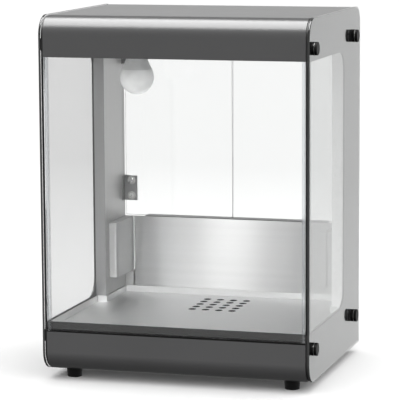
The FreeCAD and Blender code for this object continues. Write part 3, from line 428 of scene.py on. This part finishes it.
def dress_tray():
    steel = brushed("brushed_tray", grey(0.62), roughness=0.34, stretch=LEVEL, strength=0.012)
    assign(steel, "floor_tray")
    # The lip is dark coated; it is also coloured darker than the graphite coat and reflects little, as
    # painted shade under the hood.
    lip = powder_coat("rail_coat_and_painted_shade", grey(0.016), roughness=0.5)
    lip.set("Specular IOR Level", 0.1)
    wall_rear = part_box("floor_tray")[0].y + TRAY_WALL_REACH
    assign_faces(lip, lambda face: face.normal.y < -FULLY and face.center.y < wall_rear, "floor_tray")

    # Painted shade: the walls of the air holes are coloured near black.
    hole = plastic("hole_painted_shade", grey(0.02), roughness=0.5, grain=0.05)
    grid = middle("fan_frame")

    def in_hole(face):
        away = face.center - grid
        return (abs(face.normal.z) < HALFWAY and abs(away.x) < HOLE_GRID_HALF_WIDTH
                and abs(away.y) < HOLE_GRID_HALF_DEPTH)

    assign_faces(hole, in_hole, "floor_tray")
    make_hole_shade_rings(hole)


# Sheet, duct and heater that are mostly out of sight

def dress_hidden_sheet():
    sheet = plain_metal("galvanised_sheet", (0.52, 0.53, 0.54), roughness=0.42)
    assign(sheet, "ceiling_panel", "tray_rails", "element_brackets")
    # Painted shade: the duct, seen through the tray's air holes, is coloured near black.
    duct = plain_metal("duct_painted_shade", grey(0.02), roughness=0.5)
    assign(duct, "heater_duct")
    sheath = plain_metal("heater_sheath", (0.2, 0.19, 0.18), roughness=0.45)
    assign(sheath, "heating_element")


# Screws, studs, hinges and their washers

def dress_fixings():
    steel = plain_metal("fixing_steel", (0.58, 0.58, 0.57), roughness=0.3)
    assign(steel, "hinge_pins", "glass_studs", "foot_screws", "cabinet_screws", "bulb_cap",
           *sides("door_strike"))
    make_knob_washers(steel)


def dress_hinges():
    leaf = plain_metal("hinge_metal", grey(0.3), roughness=0.34)
    assign(leaf, "frame_hinge_leaves", *sides("door_hinge_leaves"))
    screw = plain_metal("hinge_screw_metal", (0.8, 0.8, 0.79), roughness=0.26)
    assign(screw, *sides("door_hinge_screws"))
    make_hinge_washers(plain_metal("hinge_washer_metal", (0.55, 0.55, 0.54), roughness=0.3))


# Glass: clear in front and behind, pale grey at the sides, with polished edges coloured dark as a
# painted reflection

def dress_glass():
    glass = clear("clear_glass", (0.988, 0.992, 0.99))
    assign(glass, "front_glass", *sides("door"))
    tinted = clear("tinted_glass", (0.62, 0.63, 0.625))
    assign(tinted, "side_glass_right")
    pale = clear("pale_glass", grey(0.68), ior=1.03)
    assign(pale, "side_glass_left")
    # Painted reflection: the polished edges of the side panes are coloured near black for the dark
    # inside that they mirror.
    edge = plastic("glass_edge_painted_shade", (0.035, 0.036, 0.036), roughness=0.12, grain=0.01)
    assign_faces(edge, lambda face: abs(face.normal.x) < FULLY, *sides("side_glass"))
    for name in sides("side_glass"):
        thin_pane(name)
    channel = clear("clear_channel", (0.9, 0.91, 0.92), roughness=0.1, ior=1.47)
    assign(channel, *sides("glass_channel"))


# Rubber and plastic

def dress_black_parts():
    rubber = plastic("black_rubber", grey(0.006), roughness=0.6, grain=0.1)
    rubber.set("Specular IOR Level", 0.2)
    assign(rubber, *sides("foot_front"), *sides("foot_rear"), *sides("edge_gasket"))
    knob = plastic("knob_plastic", grey(0.003), roughness=0.5, grain=0.05)
    knob.set("Specular IOR Level", 0.15)
    assign(knob, "glass_knobs", "glass_caps")
    black = plastic("black_plastic", grey(0.014), roughness=0.38, grain=0.05)
    assign(black, "door_catch", "fan_frame", "fan_impeller", "thermostat_dial", "thermostat_body",
           "light_switch_housing", "heat_switch_housing", "cable_gland", *sides("door_knob"))


def dress_lamp():
    opal = plastic("opal_diffuser", grey(0.72), roughness=0.12, grain=0.01)
    opal.glow(BULB_GLOW)
    assign(opal, "bulb_globe")
    white = plastic("white_plastic", grey(0.62), roughness=0.3, grain=0.02)
    assign(white, "bulb_housing", "lamp_holder", "terminal_block")


def dress_switches():
    ivory = plastic("ivory_rocker", (0.7, 0.7, 0.66), roughness=0.25, grain=0.02)
    assign(ivory, "light_switch_rocker")
    red = plastic("red_rocker", (0.45, 0.015, 0.01), roughness=0.22, grain=0.02)
    assign(red, "heat_switch_rocker")
    amber = plastic("amber_lens", (0.75, 0.2, 0.02), roughness=0.15, grain=0.01)
    assign(amber, "pilot_lamp")


def dress():
    dress_shell()
    dress_posts()
    dress_guard()
    dress_fixings()
    dress_tray()
    dress_hinges()
    dress_hidden_sheet()
    dress_glass()
    dress_black_parts()
    dress_lamp()
    dress_switches()


# Small pieces that the solids leave out

def new_piece(name, points, faces, shader):
    mesh = bpy.data.meshes.new(name)
    mesh.from_pydata(points, [], faces)
    mesh.materials.append(shader.material)
    piece = bpy.data.objects.new(name, mesh)
    scene.collection.objects.link(piece)
    return piece


def revolve(profile, centre, axis, across, steps, closed=True):
    """Points and faces of a (reach, radius) profile that is turned about an axis."""
    along = axis.cross(across)
    count = len(profile)
    links = count if closed else count - 1
    points = []
    faces = []
    for step in range(steps):
        angle = 2 * math.pi * step / steps
        spoke = math.cos(angle) * across + math.sin(angle) * along
        points += [centre + reach * axis + radius * spoke for reach, radius in profile]
        here = step * count
        after = (step + 1) % steps * count
        for i in range(links):
            j = (i + 1) % count
            faces.append((here + i, here + j, after + j, after + i))
    return points, faces


def make_washer(name, profile, centre, axis, across, shader, body):
    points, faces = revolve(profile, centre, axis, across, RING_STEPS)
    washer = new_piece(name, points, faces, shader)
    washer.data.shade_smooth()
    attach(washer, body)


def make_knob_washers(shader):
    """A thin steel washer in the groove between the two discs of each knob."""
    low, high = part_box("glass_knobs")
    inner = KNOB_RADIUS - KNOB_WASHER_DEPTH
    outer = KNOB_RADIUS - KNOB_WASHER_INSET
    shoulder = KNOB_WASHER_END - KNOB_WASHER_EDGE / 2
    profile = [(KNOB_WASHER_REACH, inner), (shoulder, inner),
               (KNOB_WASHER_END, inner + KNOB_WASHER_EDGE),
               (KNOB_WASHER_END, outer - KNOB_WASHER_EDGE),
               (shoulder, outer), (KNOB_WASHER_REACH, outer)]
    for row, y in (("front", low.y + KNOB_RADIUS), ("rear", high.y - KNOB_RADIUS)):
        for level, z in (("lower", low.z + KNOB_RADIUS), ("upper", high.z - KNOB_RADIUS)):
            make_washer("knob_washer_" + row + "_" + level, profile, Vector((low.x, y, z)),
                        X_AXIS, Y_AXIS, shader, "cabinet")


def make_hinge_washers(shader):
    """A broad washer with a rounded edge under the head of each hinge screw."""
    bore, radius = HINGE_WASHER_BORE, HINGE_WASHER_RADIUS
    height, edge = HINGE_WASHER_HEIGHT, HINGE_WASHER_EDGE
    profile = [(0, bore), (height - edge, bore), (height, bore + 2 * edge),
               (height - 2 * edge, radius - HINGE_WASHER_SLOPE), (HINGE_WASHER_RIM, radius - 2 * edge),
               (edge / 2, radius), (0, radius - edge)]
    for side in ("left", "right"):
        screws = "door_hinge_screws_" + side
        low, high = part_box(screws)
        half = (high.x - low.x) / 2
        lowest, highest = low.z + half, high.z - half
        levels = (lowest, lowest + SCREW_SPACING, highest - SCREW_SPACING, highest)
        for number, z in enumerate(levels, start=1):
            centre = Vector((middle(screws).x, low.y + SCREW_HEAD_HEIGHT, z))
            make_washer("hinge_washer_" + side + "_" + str(number), profile, centre,
                        -Y_AXIS, X_AXIS, shader, "door_" + side + "_body")


def make_plate(name, first, last, shader):
    """A flat piece of the guard's sheet between two corners, with softly rounded edges."""
    xs, ys, zs = (sorted(pair) for pair in zip(first, last))
    points = [(x, y, z) for x in xs for y in ys for z in zs]
    faces = [(0, 1, 3, 2), (4, 6, 7, 5), (0, 4, 5, 1), (2, 3, 7, 6), (0, 2, 6, 4), (1, 5, 7, 3)]
    plate = new_piece(name, points, faces, shader)
    bevel = plate.modifiers.new("rounding", "BEVEL")
    bevel.width = PLATE_ROUNDING
    bevel.segments = 2
    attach(plate, "cabinet")


def make_hole_shade_rings(shader):
    """Painted shade: a dark ring round each air hole of the tray, where the hole's edge lies in shade.
    """
    grid = middle("fan_frame")
    floor_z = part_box("floor_tray")[1].z - TRAY_WALL_HEIGHT
    profile = list(zip((0, HOLE_RIM_RISE, HOLE_RIM_RISE, 0), HOLE_RIM_RADII))
    points = []
    faces = []
    for column in range(HOLE_COLUMNS):
        for row in range(HOLE_ROWS):
            x = grid.x + (column - (HOLE_COLUMNS - 1) / 2) * HOLE_PITCH
            y = grid.y + (row - (HOLE_ROWS - 1) / 2) * HOLE_PITCH
            rim_points, rim_faces = revolve(profile, Vector((x, y, floor_z)), Z_AXIS, X_AXIS,
                                            HOLE_RIM_STEPS, closed=False)
            start = len(points)
            points += rim_points
            faces += [tuple(start + corner for corner in face) for face in rim_faces]
    dark_rings = new_piece("tray_hole_shade_rings", points, faces, shader)
    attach(dark_rings, "tray_body")


# Light

def aimed(name, data, way):
    """A lamp that shines along the given way."""
    light = bpy.data.objects.new(name, data)
    scene.collection.objects.link(light)
    light.rotation_mode = "QUATERNION"
    light.rotation_quaternion = way.to_track_quat("-Z", "Y")
    return light


def area_light(name, place, aim, size, radiance):
    """A soft box that shows in reflections and adds nothing to matt surfaces."""
    width, height = size
    data = bpy.data.lights.new(name, "AREA")
    data.shape = "RECTANGLE"
    data.size = width
    data.size_y = height
    data.energy = radiance * math.pi * width * height
    light = aimed(name, data, Vector(aim) - Vector(place))
    light.location = place
    light.visible_diffuse = False
    return light


def sun_light(name, direction, strength, angle):
    """A broad soft light from the given direction, for matt surfaces and the floor."""
    data = bpy.data.lights.new(name, "SUN")
    data.energy = strength
    data.angle = math.radians(angle)
    light = aimed(name, data, -Vector(direction))
    light.visible_glossy = False
    return light


def group(name, objects):
    collection = bpy.data.collections.new(name)
    for thing in objects:
        collection.objects.link(thing)
    return collection


def shine_on(light, objects, blockers=()):
    """Let a lamp light the given objects only. Where blockers are given, only they shade it."""
    light.light_linking.receiver_collection = group(light.name + "_receivers", objects)
    if blockers:
        light.light_linking.blocker_collection = group(light.name + "_blockers", blockers)


def make_lights(floors):
    key = sun_light("key_light", direction=(0.1, -0.42, 1.3), strength=3.6, angle=65)
    fill = sun_light("fill_light", direction=(0.1, -1.0, 0.3), strength=1.3, angle=30)
    pieces = [thing for thing in scene.objects if thing.type == "MESH" and thing not in floors]
    for light in (key, fill):
        shine_on(light, pieces)

    area_light("top_panel", place=(-0.6, -0.48, 2.6), aim=(-0.6, -0.48, 0), size=(1.6, 2.46),
               radiance=13.5)
    strip = area_light("tall_strip", place=(-0.785, -2.6, 0.7), aim=(-0.02, 0.07, 0.7),
                       size=(0.1, 3.0), radiance=5.1)
    strip.data.cycles.use_multiple_importance_sampling = False
    shine_on(strip, [nodes["rear_guard"], nodes["floor_tray"]], [nodes["rear_guard"]])

    floor_light = sun_light("floor_light", direction=(0.5, -0.3, 1.2), strength=8.0, angle=150)
    shine_on(floor_light, floors)


# Floor and surroundings

def floor_part(name, front, rear, shader):
    corners = [(-FLOOR_REACH, front, 0), (FLOOR_REACH, front, 0),
               (FLOOR_REACH, rear, 0), (-FLOOR_REACH, rear, 0)]
    floor = new_piece(name, corners, [(0, 1, 2, 3)], shader)
    floor.visible_glossy = False
    floor.visible_diffuse = False
    return floor


def make_stage():
    """A pale floor with painted shade that darkens it a little with distance. Its front part is not
    seen through glass.
    """
    shader = Shader("floor_white_with_painted_shade", grey(0.5), roughness=0.8)
    split = shader.tree.nodes.new("ShaderNodeSeparateXYZ")
    shader.tree.links.new(shader.coordinates, split.inputs["Vector"])
    # Painted shade: the floor's colour darkens with distance, where a real floor gets less light.
    distance = shader.ranged(split.outputs["Y"], 0, 1, from_low=FADE_START, from_high=FADE_END)
    shader.link(shader.blend(distance, grey(0.5), grey(0.385)), "Base Color")
    shader.glow(FLOOR_GLOW)
    shader.set("Specular IOR Level", 0.0)
    main = floor_part("floor", FLOOR_FRONT, FLOOR_REACH, shader)
    front = floor_part("floor_front", -FLOOR_REACH, FLOOR_FRONT, shader)
    front.visible_transmission = False
    front.visible_shadow = False
    return [main, front]


class Sky:
    """The studio's surroundings as a brightness over direction."""

    def __init__(self):
        world = bpy.data.worlds.new("studio")
        scene.world = world
        world.use_nodes = True
        self.tree = world.node_tree
        self.tree.nodes.clear()
        way = self.tree.nodes.new("ShaderNodeTexCoord").outputs["Generated"]
        split = self.tree.nodes.new("ShaderNodeSeparateXYZ")
        self.tree.links.new(way, split.inputs["Vector"])
        self.x, self.y, self.z = split.outputs

    def combine(self, operation, first, second):
        node = self.tree.nodes.new("ShaderNodeMath")
        node.operation = operation
        for socket, value in zip(node.inputs, (first, second)):
            if isinstance(value, float):
                socket.default_value = value
            else:
                self.tree.links.new(value, socket)
        return node.outputs["Value"]

    def step(self, source, start, end, low, high):
        """A soft step from low to high while the source runs from start to end."""
        node = self.tree.nodes.new("ShaderNodeMapRange")
        node.interpolation_type = "SMOOTHSTEP"
        node.inputs["From Min"].default_value = start
        node.inputs["From Max"].default_value = end
        node.inputs["To Min"].default_value = low
        node.inputs["To Max"].default_value = high
        self.tree.links.new(source, node.inputs["Value"])
        return node.outputs["Result"]

    def finish(self, brightness, seen_brightness):
        """One brightness for the camera, another in light and reflections."""
        seen = self.tree.nodes.new("ShaderNodeLightPath").outputs["Is Camera Ray"]
        mix = self.tree.nodes.new("ShaderNodeMix")
        unseen_input, seen_input = (mix.inputs[number] for number in MIX_VALUES)
        self.tree.links.new(seen, mix.inputs[MIX_FACTOR])
        self.tree.links.new(brightness, unseen_input)
        seen_input.default_value = seen_brightness
        background = self.tree.nodes.new("ShaderNodeBackground")
        self.tree.links.new(mix.outputs[MIXED_VALUE], background.inputs["Strength"])
        output = self.tree.nodes.new("ShaderNodeOutputWorld")
        self.tree.links.new(background.outputs["Background"], output.inputs["Surface"])


def make_world():
    """Bright behind, darker high up and below, with a low bright band in front."""
    sky = Sky()
    back = sky.step(sky.y, start=-0.35, end=0.25, low=0.6, high=1.15)
    above = sky.step(sky.z, start=0.2, end=0.32, low=1.0, high=0.35)
    front_above = sky.step(sky.z, start=-0.05, end=0.1, low=1.0, high=0.25)
    front_share = sky.step(sky.y, start=-0.6, end=0.0, low=1.0, high=0.0)
    below = sky.step(sky.z, start=-0.6, end=-0.25, low=0.15, high=1.0)
    right = sky.step(sky.x, start=0.0, end=0.25, low=1.0, high=1.08)
    rear_share = sky.combine("SUBTRACT", 1.0, front_share)
    heights = sky.combine("ADD", sky.combine("MULTIPLY", front_share, front_above),
                          sky.combine("MULTIPLY", rear_share, above))
    upper = sky.combine("MULTIPLY", back, heights)
    lower = sky.combine("MULTIPLY", below, right)
    sky.finish(sky.combine("MULTIPLY", upper, lower), seen_brightness=1.25)


make_camera()
dress()
make_world()
make_lights(make_stage())
